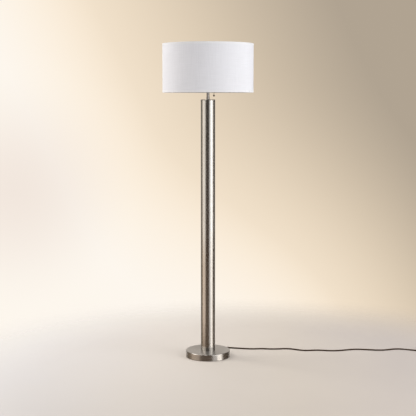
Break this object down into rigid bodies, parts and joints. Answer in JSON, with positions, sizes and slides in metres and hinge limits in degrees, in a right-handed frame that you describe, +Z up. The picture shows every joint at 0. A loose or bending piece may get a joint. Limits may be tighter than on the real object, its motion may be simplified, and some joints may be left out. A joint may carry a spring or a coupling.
{
  "type": "column floor lamp",
  "caption": "Floor lamp with a weighted round base, a wide brushed metal column, a short neck and a white drum shade on a harp, with a pull chain and a corded plug.",
  "frame": {"origin": "centre of the base's underside, on the floor", "axes": "+Z up along the column, -Y towards the viewer of the picture, +X to the side where the chain hangs and the cord runs"},
  "size_m": [1.4837, 0.457, 1.5956],
  "materials": {
    "nickel": "brushed satin nickel, brushed along the column and turned on the base",
    "nickel_wire": "plain nickel plate on wire and stampings",
    "zinc": "dull zinc plate",
    "cast_iron": "rough casting with a thin black coat",
    "felt": "dense dark felt",
    "black_plastic": "soft moulded plastic",
    "plug_plastic": "brown moulded plug",
    "phenolic": "black moulded phenolic",
    "fibre": "dark insulating fibre board",
    "brass": "plain brass, lightly toned",
    "bead_chain": "toned brass bead chain",
    "bronze": "dark bronze lacquer",
    "bulb_insulator": "black glassy insulator",
    "bulb_cap": "rolled bright cap",
    "frosted_glass": "soft white frosted glass",
    "clear_glass": "clear pressed glass",
    "linen": "white linen on a stiff liner",
    "linen_trim": "white linen tape, rolled over the rim",
    "cord": "fine dark brown braided sleeve"
  },
  "bodies": {
    "lamp": {"base_pad": "felt", "base_cover": "nickel", "base_weight": "cast_iron", "base_washer": "zinc", "base_nut": "zinc", "cord_bushing": "black_plastic", "column_foot": "nickel", "column_tube": "nickel", "column_cap": "nickel", "lamp_pipe": "zinc", "neck_collar": "nickel", "neck_tube": "nickel", "harp_saddle": "nickel_wire", "harp": "nickel_wire", "harp_stud": "nickel_wire", "socket_cap": "brass", "socket_shell": "brass", "socket_liner": "fibre", "socket_body": "phenolic", "screw_shell": "brass", "center_contact": "brass", "chain_guide": "brass", "supply_lead": "cord", "cord": "cord", "cord_coil": "cord", "coil_tie": "black_plastic", "plug_body": "plug_plastic", "plug_blades": "brass"},
    "shade": {"shade_drum": "linen", "shade_spider": "nickel_wire", "shade_top_wire": "nickel_wire", "shade_bottom_wire": "nickel_wire", "shade_trim_top": "linen_trim", "shade_trim_bottom": "linen_trim"},
    "finial_thread": {"finial_seat": "nickel"},
    "finial": {"finial_knob": "nickel"},
    "bulb_thread": {"bulb_contact": "zinc"},
    "bulb": {"bulb_insulator": "bulb_insulator", "bulb_cap": "bulb_cap", "bulb_glass": "frosted_glass", "bulb_stem": "clear_glass", "bulb_filament": "zinc"},
    "chain_top": {"chain_head": "bead_chain"},
    "chain": {"pull_chain": "bead_chain", "pull_knob": "bronze"},
    "ferrule_front": {"ferrule_front": "nickel_wire"},
    "ferrule_rear": {"ferrule_rear": "nickel_wire"}
  },
  "joints": [
    {"name": "shade_turn", "type": "hinge", "parent": "lamp", "child": "shade", "pos_m": [0, 0, 1.575], "axis": [0, 0, 1], "continuous": true},
    {"name": "finial_lift", "type": "slide", "parent": "lamp", "child": "finial_thread", "axis": [0, 0, 1], "range_m": [0, 0.0094]},
    {"name": "finial_turn", "type": "hinge", "parent": "finial_thread", "child": "finial", "pos_m": [0, 0, 1.583], "axis": [0, 0, 1], "range_deg": [0, 3600]},
    {"name": "bulb_lift", "type": "slide", "parent": "lamp", "child": "bulb_thread", "axis": [0, 0, 1], "range_m": [0, 0.01815]},
    {"name": "bulb_turn", "type": "hinge", "parent": "bulb_thread", "child": "bulb", "pos_m": [0, 0, 1.43], "axis": [0, 0, 1], "range_deg": [0, 1800]},
    {"name": "chain_pull", "type": "slide", "parent": "lamp", "child": "chain_top", "axis": [0, 0, -1], "range_m": [0, 0.008], "stiffness_N_per_m": 400, "springref_m": -0.004},
    {"name": "chain_swing", "type": "hinge", "parent": "chain_top", "child": "chain", "pos_m": [0.03, 0, 1.411], "axis": [1, 0, 0], "range_deg": [-35, 35]},
    {"name": "ferrule_front_lift", "type": "slide", "parent": "lamp", "child": "ferrule_front", "axis": [0, 0, 1], "range_m": [0, 0.012]},
    {"name": "ferrule_rear_lift", "type": "slide", "parent": "lamp", "child": "ferrule_rear", "axis": [0, 0, 1], "range_m": [0, 0.012]}
  ],
  "couplings": [
    {"joint": "finial_turn", "follows": "finial_lift", "rad_per_m": 6684.2},
    {"joint": "bulb_turn", "follows": "bulb_lift", "rad_per_m": 1730.9}
  ]
}
